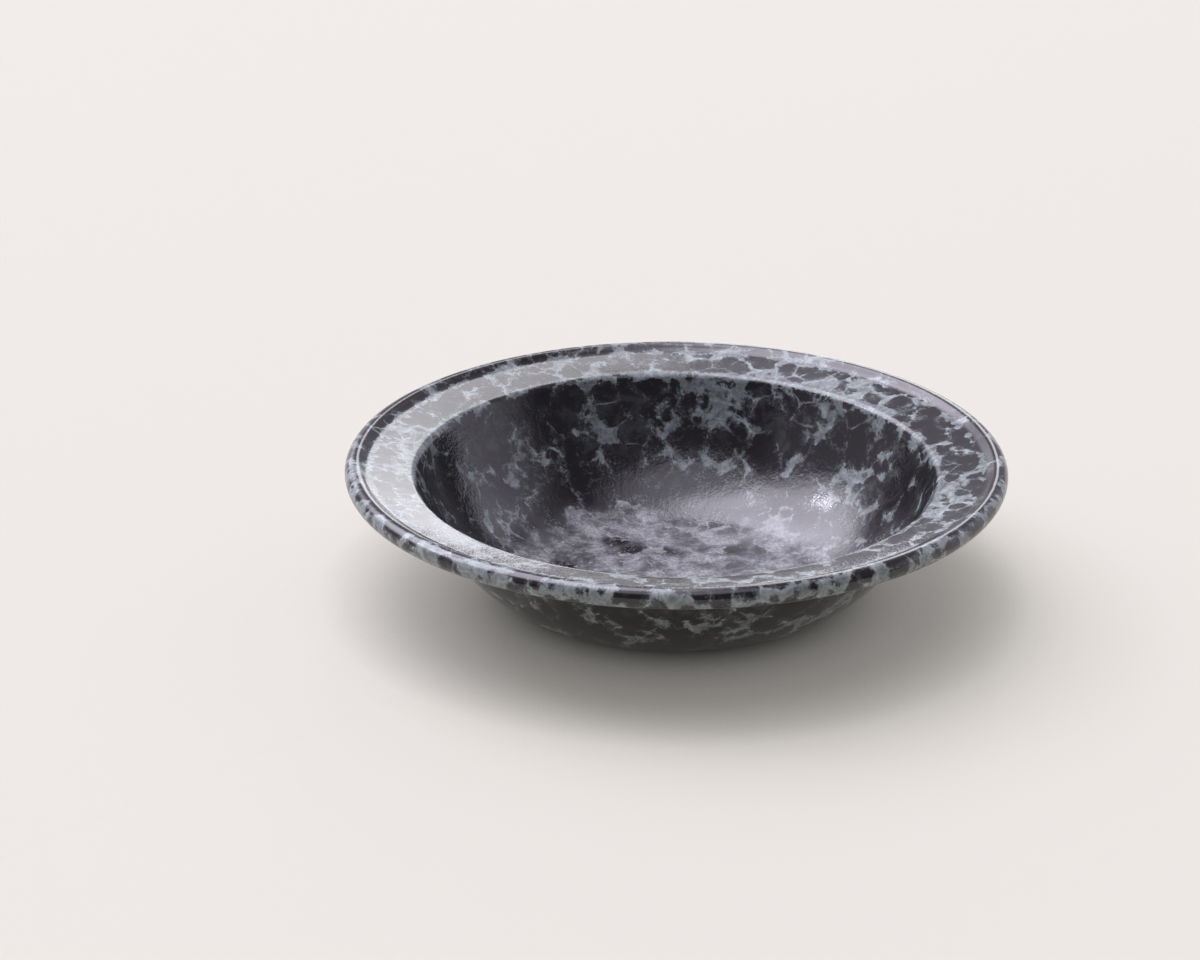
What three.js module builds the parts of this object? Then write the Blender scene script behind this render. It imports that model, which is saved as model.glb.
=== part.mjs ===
// Rimmed bowl in enamelled steel. One sheet is drawn into a flat base, a curved wall and a sloping
// flange, and its edge is curled down and under into a hollow bead. Enamel is fired on every face.
// Millimetres, +Z up, with the origin at the centre of the face that the bowl stands on.
import * as THREE from "three";

// Driving dimensions. Diameters and heights are over the finished enamel.
const RIM_DIAMETER = 230; // over the bead
const OVERALL_HEIGHT = 50; // standing face to the top of the bead
const BASE_DIAMETER = 92; // flat standing face
const MOUTH_DIAMETER = 182; // corner of wall and flange before it is rounded, on the steel's upper face
const BEAD_DIAMETER = 7.2;
const BEAD_RISE = 1.15; // bead above the flange's face, square to the flange
const SHEET = 0.8; // steel
const COAT = 0.3; // enamel, on each face
const CURL_SLIT = 0.4; // gap between the curled edge and the flange's underside

// Forming radii, on the steel's upper face.
const MOUTH_RADIUS = 3; // wall into flange
const GROOVE_RADIUS = 8; // flange into bead

// Angles in degrees, and the wall's fullness: 0 is a straight cone, 1 a sharp corner above the base.
const FLANGE_SLOPE = 11; // rising outwards
const WALL_LEAN = 21; // off vertical, at the mouth
const WALL_FULLNESS = 0.64;

// Facets round the axis, and along each curved stretch of the sheet.
const TURN_STEPS = 48;
const WALL_STEPS = 7;
const MOUTH_STEPS = 3;
const GROOVE_STEPS = 3;
const CREST_STEPS = 2; // groove to the top of the bead
const CURL_STEPS = 12; // top of the bead to the curled edge

const CHARCOAL = { color: 0x2a2728, roughness: 0.12, metalness: 0 };
const PALE_CHARCOAL = { color: 0x7b8388, roughness: 0.12, metalness: 0 };
const BARE_STEEL = { color: 0x8d8f91, roughness: 0.4, metalness: 1 };

const slope = THREE.MathUtils.degToRad(FLANGE_SLOPE);
const lean = THREE.MathUtils.degToRad(WALL_LEAN);
const direction = (angle) => new THREE.Vector2(Math.cos(angle), Math.sin(angle));
const along = (point, heading, distance) => point.clone().addScaledVector(heading, distance);

// A station is a point on the steel's upper face, in (radius, height), and the way up from the sheet there.
const station = (at, up) => ({ at, up });

// Stations round a bend, after its first point. The sheet's upper face is outside a bend of positive
// radius and inside one of negative radius. The angles are those of the way up.
function bend(centre, radius, fromAngle, toAngle, steps) {
  const stations = [];
  for (let step = 1; step <= steps; step += 1) {
    const up = direction(THREE.MathUtils.lerp(fromAngle, toAngle, step / steps));
    stations.push(station(along(centre, up, radius), up));
  }
  return stations;
}

// Bead: a circle that the curled sheet follows, and the flange's face passing above its centre.
const beadRadius = BEAD_DIAMETER / 2;
const curlRadius = beadRadius - COAT;
const beadCentre = new THREE.Vector2(RIM_DIAMETER / 2 - beadRadius, OVERALL_HEIGHT - beadRadius);
const flangeOut = direction(slope);
const flangeUpAngle = Math.PI / 2 + slope;
const flangeUp = direction(flangeUpAngle);
const flangeAboveBead = curlRadius - BEAD_RISE;

// Groove: the fillet that touches the flange's face and the curl.
const grooveAbove = flangeAboveBead + GROOVE_RADIUS;
const grooveInward = Math.sqrt((curlRadius + GROOVE_RADIUS) ** 2 - grooveAbove ** 2);
const grooveCentre = along(along(beadCentre, flangeUp, grooveAbove), flangeOut, -grooveInward);
const curlStart = grooveCentre.clone().sub(beadCentre).angle();

// The curl runs over the bead and back up until its enamelled edge is a slit's width under the flange.
const edgeAboveBead = flangeAboveBead - SHEET - COAT - CURL_SLIT;
const curlEnd = slope - Math.PI - Math.asin(edgeAboveBead / beadRadius);

// Mouth: the flange's face carried in to the mouth's corner, and the bend that rounds the corner.
const wallUpAngle = Math.PI - lean;
const grooveFoot = along(grooveCentre, flangeUp, -GROOVE_RADIUS);
const flangeRun = (grooveFoot.x - MOUTH_DIAMETER / 2) / Math.cos(slope);
const mouthCorner = along(grooveFoot, flangeOut, -flangeRun);
const mouthTangent = MOUTH_RADIUS * Math.tan((wallUpAngle - flangeUpAngle) / 2);
const mouthCentre = along(along(mouthCorner, flangeOut, mouthTangent), flangeUp, -MOUTH_RADIUS);
const wallUp = direction(wallUpAngle);
const wallTop = along(mouthCentre, wallUp, MOUTH_RADIUS);

// Wall: a curve from the base's edge to the mouth, pulled towards the corner where its end tangents cross.
const baseHeight = COAT + SHEET;
const baseCentre = new THREE.Vector2(0, baseHeight);
const baseEdge = new THREE.Vector2(BASE_DIAMETER / 2, baseHeight);
const wallCorner = new THREE.Vector2(wallTop.x - (wallTop.y - baseHeight) * Math.tan(lean), baseHeight);
const wallCurve = new THREE.CubicBezierCurve(
  baseEdge,
  baseEdge.clone().lerp(wallCorner, WALL_FULLNESS),
  wallTop.clone().lerp(wallCorner, WALL_FULLNESS),
  wallTop,
);

function wallStations() {
  const stations = [];
  for (let step = 1; step <= WALL_STEPS; step += 1) {
    const share = step / WALL_STEPS;
    const heading = wallCurve.getTangent(share);
    stations.push(station(wallCurve.getPoint(share), new THREE.Vector2(-heading.y, heading.x)));
  }
  return stations;
}

// The whole sheet, from the middle of the base to the curled edge.
const upright = new THREE.Vector2(0, 1);
const base = [station(baseCentre, upright), station(baseEdge, upright)];
const mouth = bend(mouthCentre, MOUTH_RADIUS, wallUpAngle, flangeUpAngle, MOUTH_STEPS);
const flangeEdge = station(grooveFoot, flangeUp);
const groove = bend(grooveCentre, -GROOVE_RADIUS, flangeUpAngle, curlStart, GROOVE_STEPS);
const curl = [
  ...bend(beadCentre, curlRadius, curlStart, Math.PI / 2, CREST_STEPS),
  ...bend(beadCentre, curlRadius, Math.PI / 2, curlEnd, CURL_STEPS),
];
const wellAndFlange = [...base, ...wallStations(), ...mouth, flangeEdge];
const rim = [flangeEdge, ...groove, ...curl];

// A layer of the wall, turned round the axis: the space between two distances above the steel's upper face.
function layer(name, stations, below, above, finish) {
  const face = (distance) => stations.map(({ at, up }) => along(at, up, distance));
  const profile = [...face(below), ...face(above).reverse()];
  if (profile[0].x > 0) profile.push(profile[0].clone());
  const geometry = new THREE.LatheGeometry(profile, TURN_STEPS).rotateX(Math.PI / 2);
  const mesh = new THREE.Mesh(geometry, new THREE.MeshStandardMaterial(finish));
  mesh.name = name;
  return mesh;
}

const bowl = new THREE.Group();
bowl.add(
  layer("steel_shell", [...wellAndFlange, ...groove, ...curl], -SHEET, 0, BARE_STEEL),
  layer("inside_enamel", wellAndFlange, 0, COAT, CHARCOAL),
  layer("rim_enamel", rim, 0, COAT, PALE_CHARCOAL),
  layer("outside_enamel", [...wellAndFlange, ...groove], -SHEET - COAT, -SHEET, CHARCOAL),
);

export default bowl;
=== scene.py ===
from math import asin, atan2, cos, pi, radians, sin, sqrt, tan

import bmesh
import bpy
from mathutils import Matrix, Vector
from mathutils.geometry import interpolate_bezier


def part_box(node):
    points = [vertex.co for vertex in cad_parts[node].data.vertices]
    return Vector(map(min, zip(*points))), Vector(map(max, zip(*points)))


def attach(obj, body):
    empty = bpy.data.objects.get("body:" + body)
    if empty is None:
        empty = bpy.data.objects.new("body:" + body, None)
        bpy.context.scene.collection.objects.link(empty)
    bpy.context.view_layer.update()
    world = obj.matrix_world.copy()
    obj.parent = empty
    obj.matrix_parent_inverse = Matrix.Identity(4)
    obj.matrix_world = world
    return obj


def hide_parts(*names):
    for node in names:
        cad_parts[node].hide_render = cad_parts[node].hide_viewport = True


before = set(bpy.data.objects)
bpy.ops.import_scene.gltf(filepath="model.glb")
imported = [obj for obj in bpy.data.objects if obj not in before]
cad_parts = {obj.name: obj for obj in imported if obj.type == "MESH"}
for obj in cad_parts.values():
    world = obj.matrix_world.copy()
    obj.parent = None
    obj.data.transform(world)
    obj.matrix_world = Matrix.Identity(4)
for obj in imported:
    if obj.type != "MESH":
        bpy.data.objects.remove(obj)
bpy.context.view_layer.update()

# Pressed steel sheet: one disc, drawn in a press to a flat base, a curved wall and a sloping flange, then
# curled down and under at its edge into a hollow bead. The enamel hides all of it but the curl's slit.
MM = 0.001
# Coat, sheet and coat lie on each other at the base, so their lowest faces give the thicknesses.
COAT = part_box("steel_shell")[0].z
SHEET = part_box("inside_enamel")[0].z - COAT
RIM_LOW, RIM_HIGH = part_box("rim_enamel")
RIM_RADIUS = RIM_HIGH.x
RIM_TOP = RIM_HIGH.z
BEAD_RADIUS = (RIM_TOP - RIM_LOW.z) / 2
BEAD_RISE = 1.15 * MM
BASE_RADIUS = 46 * MM
MOUTH_RADIUS = 91 * MM
MOUTH_BEND = 3 * MM
GROOVE_BEND = 8 * MM
CURL_SLIT = 0.4 * MM
FLANGE_SLOPE = radians(11)
WALL_LEAN = radians(21)
WALL_FULLNESS = 0.64
WALL_STEPS = 28
MOUTH_STEPS = 10
GROOVE_STEPS = 8
CREST_STEPS = 8
CURL_STEPS = 30
TURN_STEPS = 192
SHARP_ANGLE = radians(50)
MERGE_DISTANCE = 0.0001 * MM


def heading(angle):
    return Vector((cos(angle), sin(angle)))


def bend(centre, radius, from_angle, to_angle, steps):
    """Points round a bend of the sheet, each with its way up. A hollow bend has a negative radius."""
    ups = [heading(from_angle + (to_angle - from_angle) * step / steps) for step in range(1, steps + 1)]
    return [(centre + up * radius, up) for up in ups]


curl_radius = BEAD_RADIUS - COAT
bead_centre = Vector((RIM_RADIUS - BEAD_RADIUS, RIM_TOP - BEAD_RADIUS))
flange_out = heading(FLANGE_SLOPE)
flange_angle = pi / 2 + FLANGE_SLOPE
flange_up = heading(flange_angle)
flange_above = curl_radius - BEAD_RISE
groove_above = flange_above + GROOVE_BEND
groove_inward = sqrt((curl_radius + GROOVE_BEND) ** 2 - groove_above**2)
groove_centre = bead_centre + flange_up * groove_above - flange_out * groove_inward
groove_foot = groove_centre - flange_up * GROOVE_BEND
groove_to_bead = groove_centre - bead_centre
curl_start = atan2(groove_to_bead.y, groove_to_bead.x)
curl_end = FLANGE_SLOPE - pi - asin((flange_above - SHEET - COAT - CURL_SLIT) / BEAD_RADIUS)

wall_angle = pi - WALL_LEAN
mouth_corner = groove_foot - flange_out * (groove_foot.x - MOUTH_RADIUS) / cos(FLANGE_SLOPE)
mouth_tangent = MOUTH_BEND * tan((wall_angle - flange_angle) / 2)
mouth_centre = mouth_corner + flange_out * mouth_tangent - flange_up * MOUTH_BEND
wall_top = mouth_centre + heading(wall_angle) * MOUTH_BEND
base_edge = Vector((BASE_RADIUS, COAT + SHEET))
wall_corner = Vector((wall_top.x - (wall_top.y - base_edge.y) * tan(WALL_LEAN), base_edge.y))
wall_points = interpolate_bezier(
    base_edge,
    base_edge.lerp(wall_corner, WALL_FULLNESS),
    wall_top.lerp(wall_corner, WALL_FULLNESS),
    wall_top,
    WALL_STEPS + 1,
)


def wall_up(step):
    """The way up from the sheet at a point of the wall, square to the line between its neighbours."""
    if step == WALL_STEPS:
        return heading(wall_angle)
    run = (wall_points[step + 1] - wall_points[step - 1]).normalized()
    return Vector((-run.y, run.x))


upright = Vector((0, 1))
base_line = [(Vector((0, base_edge.y)), upright), (base_edge, upright)]
wall_line = [(wall_points[step], wall_up(step)) for step in range(1, WALL_STEPS + 1)]
mouth_line = bend(mouth_centre, MOUTH_BEND, wall_angle, flange_angle, MOUTH_STEPS)
flange_end = [(groove_foot, flange_up)]
groove_line = bend(groove_centre, -GROOVE_BEND, flange_angle, curl_start, GROOVE_STEPS)
curl_line = bend(bead_centre, curl_radius, curl_start, pi / 2, CREST_STEPS)
curl_line += bend(bead_centre, curl_radius, pi / 2, curl_end, CURL_STEPS)
well_line = base_line + wall_line + mouth_line + flange_end


def new_mesh(name, shape, material):
    mesh = bpy.data.meshes.new(name)
    shape.to_mesh(mesh)
    shape.free()
    mesh.materials.append(material)
    return mesh


def new_object(name, data):
    made = bpy.data.objects.new(name, data)
    bpy.context.scene.collection.objects.link(made)
    return made


def turned_layer(name, node, line, below, above, material):
    """One layer of the bowl, turned round its axis between two heights over the steel's upper face."""
    outline = [at + up * below for at, up in line] + [at + up * above for at, up in reversed(line)]
    shape = bmesh.new()
    corners = [shape.verts.new((point.x, 0, point.y)) for point in outline]
    edges = [shape.edges.new(pair) for pair in zip(corners, corners[1:])]
    starts_at_axis = outline[0].x == 0
    if not starts_at_axis:
        edges.append(shape.edges.new((corners[-1], corners[0])))
    bmesh.ops.spin(
        shape,
        geom=corners + edges,
        cent=(0, 0, 0),
        axis=(0, 0, 1),
        angle=2 * pi,
        steps=TURN_STEPS,
        use_merge=True,
    )
    bmesh.ops.remove_doubles(shape, verts=shape.verts, dist=MERGE_DISTANCE)
    bmesh.ops.recalc_face_normals(shape, faces=shape.faces)
    mesh = new_mesh(name, shape, material)
    mesh.shade_smooth()
    mesh.set_sharp_from_angle(angle=SHARP_ANGLE)
    piece = new_object(name, mesh)
    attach(piece, "root")
    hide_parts(node)


class Socket:
    """One output in a node tree. Arithmetic on it adds Math nodes."""

    def __init__(self, tree, output=None):
        self.tree = tree
        self.output = output

    def node(self, kind, settings, inputs, output=0):
        """One output of a new node, which has its settings first and then its inputs' values or links."""
        made = self.tree.nodes.new(kind)
        for key, value in settings.items():
            setattr(made, key, value)
        for key, value in inputs.items():
            if isinstance(value, Socket):
                value.feed(made.inputs[key])
            else:
                made.inputs[key].default_value = value
        return Socket(self.tree, made.outputs[output])

    def feed(self, target):
        self.tree.links.new(self.output, target)

    def math(self, operation, *terms):
        return self.node("ShaderNodeMath", {"operation": operation}, dict(enumerate(terms)))

    def __add__(self, other):
        return self.math("ADD", self, other)

    def __radd__(self, other):
        return self.math("ADD", other, self)

    def __sub__(self, other):
        return self.math("SUBTRACT", self, other)

    def __rsub__(self, other):
        return self.math("SUBTRACT", other, self)

    def __mul__(self, other):
        return self.math("MULTIPLY", self, other)

    def __rmul__(self, other):
        return self.math("MULTIPLY", other, self)


def new_material(name):
    material = bpy.data.materials.new(name)
    material.use_nodes = True
    return material, Socket(material.node_tree), material.node_tree.nodes["Principled BSDF"]


def noise(place, size, detail=2.0, roughness=0.5, output="Fac"):
    """Noise with features of a size in metres."""
    inputs = {"Vector": place, "Scale": 1 / size, "Detail": detail, "Roughness": roughness}
    return place.node("ShaderNodeTexNoise", {}, inputs, output)


def rise(value, low, high):
    """0 below low, 1 above high and a smooth step between."""
    inputs = {"Value": value, "From Min": low, "From Max": high}
    return value.node("ShaderNodeMapRange", {"interpolation_type": "SMOOTHSTEP"}, inputs)


def blend(share, first, second):
    """The first colour where the share is 0, the second where it is 1."""
    return share.node("ShaderNodeMix", {"data_type": "RGBA"}, {0: share, 6: first, 7: second}, 2)


STEEL_COLOUR = (0.42, 0.42, 0.43, 1)
STEEL_ROUGHNESS = 0.35
SCALE_COLOUR = (0.16, 0.15, 0.15, 1)
SCALE_ROUGHNESS = 0.60
SCALE_PATCH = 6 * MM
steel_material, graph, shader = new_material("pressed_steel")
place = graph.node("ShaderNodeTexCoord", {}, {}, "Object")
fire_scale = rise(noise(place, SCALE_PATCH, 4.0, 0.6), 0.42, 0.62)
blend(fire_scale, STEEL_COLOUR, SCALE_COLOUR).feed(shader.inputs["Base Color"])
steel_roughness = STEEL_ROUGHNESS + (SCALE_ROUGHNESS - STEEL_ROUGHNESS) * fire_scale
steel_roughness.feed(shader.inputs["Roughness"])
shader.inputs["Metallic"].default_value = 1.0
turned_layer(
    "pressed_shell",
    "steel_shell",
    well_line + groove_line + curl_line,
    -SHEET,
    0,
    steel_material,
)

# Inside enamel: fired glass over the well and the flange. Near-black drops were spattered over a pale
# blue-grey coat while it was wet, so the pale shows between them. The floor of the well is cloudier.
WALL_DROP = 11 * MM
RIM_DROP = 8.5 * MM
SMALL_DROP = 5 * MM
FLOOR_OVAL = 20 * MM
CLOUD_END = 78 * MM
STIPPLE_START = 68 * MM
STIPPLE_END = 84 * MM
DARK_COLOUR = (0.0098, 0.0072, 0.0082, 1)
PALE_COLOUR = (0.33, 0.375, 0.37, 1)
CLOUD_COLOUR = (0.39, 0.39, 0.41, 1)
DROP_ROUGHNESS = 0.11
POOL_ROUGHNESS = 0.23
ENAMEL_IOR = 1.58
RIPPLE_DEPTH = 0.1 * MM
INSIDE_PATTERN = (0.23, 0.41, 0.07)


def band(value, start, full, fade, end):
    """0 up to start, 1 from full to fade, and 0 again past end."""
    return rise(value, start, full) * (1 - rise(value, fade, end))


def drift(place, size, amount, detail):
    """Places pushed about by noise, as wet slip wanders before it is fired."""
    push = noise(place, size, detail, 0.55, "Color")
    inputs = {0: push, 1: (amount,) * 3, 2: place}
    return place.node("ShaderNodeVectorMath", {"operation": "MULTIPLY_ADD"}, inputs)


def reach(place, size, feature):
    """Distance in metres to the middle of the nearest drop, F1, or of the second nearest, F2."""
    inputs = {"Vector": place, "Scale": 1 / size}
    return size * place.node("ShaderNodeTexVoronoi", {"feature": feature}, inputs)


def palest(layer, *others):
    """The palest of several layers at each place."""
    for other in others:
        layer = layer.math("MAXIMUM", layer, other)
    return layer


def enamel_material(name, pattern, cloudiness):
    """Marbled enamel, cut at the pattern's place from endless marbling. Cloudiness is the well floor's."""
    material, graph, shader = new_material(name)
    origin = graph.node("ShaderNodeTexCoord", {}, {}, "Object")
    place = graph.node("ShaderNodeMapping", {}, {"Vector": origin, "Location": pattern})
    flat = graph.node("ShaderNodeVectorMath", {"operation": "MULTIPLY"}, {0: origin, 1: (1, 1, 0)})
    radius = graph.node("ShaderNodeVectorMath", {"operation": "LENGTH"}, {0: flat}, "Value")

    # The flange, and the outer face and the inner slope of the bead.
    from_mouth = radius - MOUTH_RADIUS
    from_bead = radius - bead_centre.x
    flange = rise(from_mouth, -1 * MM, 3 * MM)
    bead_out = rise(from_bead, -0.9 * MM, 1.6 * MM)
    bead_in = rise(from_bead, -4.6 * MM, -3.2 * MM) * (1 - bead_out)

    # Unevenness: slip that wandered, stretches where the drops lie apart, mottling and grain.
    bent = drift(place, 11 * MM, 6 * MM, 1.0)
    fine = drift(bent, 1.6 * MM, 1.5 * MM, 4.0)
    spread = noise(place, 30 * MM, 2.0) - 0.5
    mottle = rise(noise(bent, 4 * MM, 5.0, 0.68), 0.28, 0.72)
    grain = noise(place, 0.9 * MM, 3.0, 0.7)

    # Pale broken lines along the edge of the well and in the groove beside the bead: partly pale slip
    # gathered there and partly a painted highlight on these bends.
    ragged = 2.5 * MM * (mottle - 0.5)
    mouth = band(from_mouth + ragged, -1.2 * MM, 0.3 * MM, 1.2 * MM, 3.2 * MM)
    groove = band(from_bead + ragged, -6.8 * MM, -5.6 * MM, -5.0 * MM, -3.8 * MM)
    patchy = rise(noise(place, 16 * MM, 2.0), 0.34, 0.56)
    lines = patchy * (4.0 * MM * mouth + 2.6 * MM * groove)

    # Pools are what the drops leave bare: large drops, with smaller ones spattered over the gaps.
    wall_drop = reach(fine, WALL_DROP, "F1")
    rim_drop = reach(fine, RIM_DROP, "F1")
    small_drop = reach(fine, SMALL_DROP, "F1")
    bare_wall = wall_drop - 0.66 * WALL_DROP + 6.5 * MM * spread
    bare_rim = rim_drop - 0.60 * RIM_DROP + 4 * MM * spread
    bare_rim = bare_rim + (0.8 * bead_out - 0.9 * bead_in) * MM
    bare_large = bare_wall + flange * (bare_rim - bare_wall) + lines
    bare_small = small_drop - 0.50 * SMALL_DROP + 3 * MM * spread
    bare_small = bare_small + 0.5 * MM * (flange + bead_out) + lines
    bare = graph.math("SMOOTH_MIN", bare_large, bare_small, 0.8 * MM)
    bare = bare + 2.0 * MM * (grain - 0.5) + 1.3 * MM * (mottle - 0.5)
    pool = rise(bare, -0.65 * MM, 0.85 * MM)
    edge = pool * (1 - rise(bare, 0.3 * MM, 1.6 * MM))
    small_gap = reach(fine, SMALL_DROP, "F2") - small_drop
    thread = (1 - rise(small_gap, 0.1 * MM, 0.9 * MM)) * mottle
    pool_tone = 0.08 + 0.08 * flange + 0.06 * bead_out + 0.40 * mottle + 0.3 * thread + 0.35 * (grain - 0.5)
    pool_layer = pool * pool_tone + 0.42 * edge * grain

    # Thin veins run between neighbouring drops, and a veil of slip lies over the edges of the drops.
    wall_gap = reach(fine, WALL_DROP, "F2") - wall_drop
    rim_gap = reach(fine, RIM_DROP, "F2") - rim_drop
    gap = wall_gap + flange * (rim_gap - wall_gap) + 1.2 * MM * (grain - 0.5)
    broken = rise(noise(place, 7 * MM, 3.0, 0.6) + 0.8 * spread, 0.50, 0.72)
    vein = broken * (1 - rise(gap, 0.1 * MM, 0.9 * MM))
    vein_layer = vein * (0.12 + 0.15 * flange + 0.75 * grain)
    veil = rise(bare, -3.2 * MM, 0.3 * MM) * rise(mottle, 0.35, 1.0)
    veil_layer = veil * (0.14 + 0.34 * rise(grain, 0.42, 0.68))

    # Faint smoke drifts over stretches of the wall.
    smoke_patch = rise(noise(place, 24 * MM, 1.0), 0.46, 0.62)
    smoke = rise(noise(fine, 6 * MM, 5.0, 0.66), 0.44, 0.68) * smoke_patch
    smoke_layer = 0.11 * smoke * (1 - flange)

    # The floor of the well is stippled, and clouded but for a few dark ovals.
    floor = cloudiness * (1 - rise(radius - 50 * MM * spread, BASE_RADIUS, CLOUD_END))
    stipple = rise(grain, 0.50, 0.66) * rise(noise(bent, 10 * MM, 3.0, 0.6), 0.48, 0.64)
    stipple_layer = 0.5 * cloudiness * stipple * (1 - rise(radius, STIPPLE_START, STIPPLE_END))
    oval = rise(reach(bent, FLOOR_OVAL, "F1"), 3.5 * MM, 8.0 * MM)
    cloud = rise(noise(fine, 9 * MM, 6.0, 0.72) + 0.34 * (floor - 1), 0.36, 0.66)
    cloud = cloud * (0.4 + 0.6 * rise(grain, 0.3, 0.7))
    cloud_layer = oval * (0.14 * floor + 0.82 * cloud)

    tone = palest(pool_layer, vein_layer, veil_layer, smoke_layer, stipple_layer, cloud_layer)
    pale = blend(floor, PALE_COLOUR, CLOUD_COLOUR)
    blend(tone, DARK_COLOUR, pale).feed(shader.inputs["Base Color"])
    roughness = DROP_ROUGHNESS + (POOL_ROUGHNESS - DROP_ROUGHNESS) * pool
    roughness.feed(shader.inputs["Roughness"])
    shader.inputs["IOR"].default_value = ENAMEL_IOR

    # The glass is rippled where it ran, more in the well than on the flange.
    ripple = 1.2 * noise(place, 12 * MM, 1.0) + 0.35 * noise(place, 1.2 * MM, 2.0, 0.6)
    well_ripple = noise(place, 3 * MM, 2.0, 0.6) + 0.45 * noise(place, 0.7 * MM, 1.0)
    ripple = ripple + (1 - flange) * well_ripple
    bump = graph.node("ShaderNodeBump", {}, {"Strength": 1.0, "Distance": RIPPLE_DEPTH, "Height": ripple})
    bump.feed(shader.inputs["Normal"])
    return material


inside_material = enamel_material("inside_enamel", INSIDE_PATTERN, cloudiness=1.0)
turned_layer("well_enamel", "inside_enamel", well_line, 0, COAT, inside_material)

# Rim enamel: the same glass over the curled bead, fired in one with the inside coat. The bead's outer face
# is painted paler and its inner slope darker; the pale line in the groove is partly pale slip and partly a
# painted highlight. The coat starts at the groove and ends at the curl's edge under the flange.
bead_line = flange_end + groove_line + curl_line
turned_layer("bead_enamel", "rim_enamel", bead_line, 0, COAT, inside_material)

# Outside enamel: the coat on the other face of the sheet, under the flange, on the outer wall and on the
# base. It has the same drops over the same pale slip, without the clouds.
OUTSIDE_PATTERN = (0.31, 0.17, 0.23)
outside_material = enamel_material("outside_enamel", OUTSIDE_PATTERN, cloudiness=0.0)
turned_layer(
    "outer_enamel",
    "outside_enamel",
    well_line + groove_line,
    -SHEET - COAT,
    -SHEET,
    outside_material,
)

# Floor: the plain pale floor of the studio. It glows a little by itself, a painted light, and the glow is
# painted darker where the bowl stands close over it, a painted contact shadow, so that the shadow stays
# soft.
FLOOR_COLOUR = (0.23, 0.222, 0.187, 1)
FLOOR_ROUGHNESS = 0.8
FLOOR_GLOW = (0.43, 0.412, 0.387, 1)
FLOOR_REACH = 40
SHADE_REACH = 0.05
floor_material, graph, shader = new_material("floor")
shader.inputs["Base Color"].default_value = FLOOR_COLOUR
shader.inputs["Roughness"].default_value = FLOOR_ROUGHNESS
shader.inputs["Emission Strength"].default_value = 1.0
# Painted light: the floor's own glow, painted darker where the bowl is close over it as a painted shadow.
glow_inputs = {"Color": FLOOR_GLOW, "Distance": SHADE_REACH}
painted_glow_and_shadow = graph.node("ShaderNodeAmbientOcclusion", {"samples": 4}, glow_inputs, "Color")
painted_glow_and_shadow.feed(shader.inputs["Emission Color"])
shape = bmesh.new()
bmesh.ops.create_grid(shape, x_segments=1, y_segments=1, size=FLOOR_REACH)
floor_piece = new_object("floor", new_mesh("floor", shape, floor_material))

# Studio light: a broad key high on the left behind the bowl, a softer light overhead, a small bright lamp,
# weak glows from both sides, from the back and from low at the back, and a pale horizon. A tall strip of
# light stands far behind and shines along the flange.
AMBIENT = 0.16
# Each soft light's direction, the cosines where it starts and where it is full, and its radiance.
SOFT_LIGHTS = {
    "key": ((-0.457, 0.360, 0.813), 0.80, 0.965, 5.2),
    "top": ((-0.1, -0.14, 0.985), 0.84, 0.985, 1.6),
    "lamp": ((-0.713, 0.263, 0.649), 0.9980, 0.9996, 40.0),
    "left": ((-0.906, 0.0, 0.423), 0.75, 0.97, 0.35),
    "back": ((0.0, 0.954, 0.3), 0.2, 1.0, 0.35),
    "right": ((0.908, 0.330, 0.259), 0.75, 0.97, 0.75),
    "low": ((-0.387, 0.869, 0.309), 0.966, 0.995, 1.1),
}
SKY_TINT = (1.0, 0.97, 1.13)
HORIZON_COLOUR = (0.84, 0.81, 0.80, 1)
HORIZON_RISE = 0.09
world = bpy.data.worlds.new("studio")
bpy.context.scene.world = world
world.use_nodes = True
graph = Socket(world.node_tree)
direction = graph.node("ShaderNodeTexCoord", {}, {}, "Generated")
level = AMBIENT
for aim, edge, core, radiance in SOFT_LIGHTS.values():
    turn = graph.node("ShaderNodeVectorMath", {"operation": "DOT_PRODUCT"}, {0: direction, 1: aim}, "Value")
    level = level + radiance * rise(turn, edge, core)
sky = graph.node("ShaderNodeVectorMath", {"operation": "SCALE"}, {0: SKY_TINT, "Scale": level})
height = graph.node("ShaderNodeSeparateXYZ", {}, {0: direction}, "Z")
backdrop = blend(rise(height, 0.0, HORIZON_RISE), HORIZON_COLOUR, sky)
backdrop.feed(world.node_tree.nodes["Background"].inputs["Color"])
bpy.context.scene.view_settings.view_transform = "Standard"

STRIP_RADIANCE = 2.9
STRIP_COLOUR = (0.98, 0.97, 1.0)
STRIP_WIDTH = 1.85
STRIP_HEIGHT = 9.6
STRIP_FOOT = 0.75
STRIP_SIDE = 0.90
STRIP_BEHIND = 10.0
STRIP_TILT = radians(0.9)
strip = bpy.data.lights.new("back_strip", "AREA")
strip.shape = "RECTANGLE"
strip.size = STRIP_WIDTH
strip.size_y = STRIP_HEIGHT
strip.energy = STRIP_RADIANCE * pi * STRIP_WIDTH * STRIP_HEIGHT
strip.color = STRIP_COLOUR
strip_object = new_object("back_strip", strip)
strip_object.location = (STRIP_SIDE, STRIP_BEHIND, STRIP_FOOT + STRIP_HEIGHT / 2)
strip_object.rotation_euler = (-pi / 2, -STRIP_TILT, 0)

# Camera: a little over a metre in front of the bowl and half a metre above the floor, looking down into
# the well. Its focal length is given in pixels of the picture's width.
FRAME_WIDTH_PIXELS = 1200
FOCAL_PIXELS = 3500
SENSOR_MILLIMETRES = 36.0
CAMERA_PLACE = Vector((0.0, -1.125, 0.513))
CAMERA_AIM = Vector((-0.0264, 0.0, 0.0402))
lens = bpy.data.cameras.new("camera")
lens.sensor_width = SENSOR_MILLIMETRES
lens.lens = SENSOR_MILLIMETRES * FOCAL_PIXELS / FRAME_WIDTH_PIXELS
camera = new_object("camera", lens)
camera.location = CAMERA_PLACE
camera.rotation_euler = (CAMERA_AIM - CAMERA_PLACE).to_track_quat("-Z", "Y").to_euler()
bpy.context.scene.camera = camera
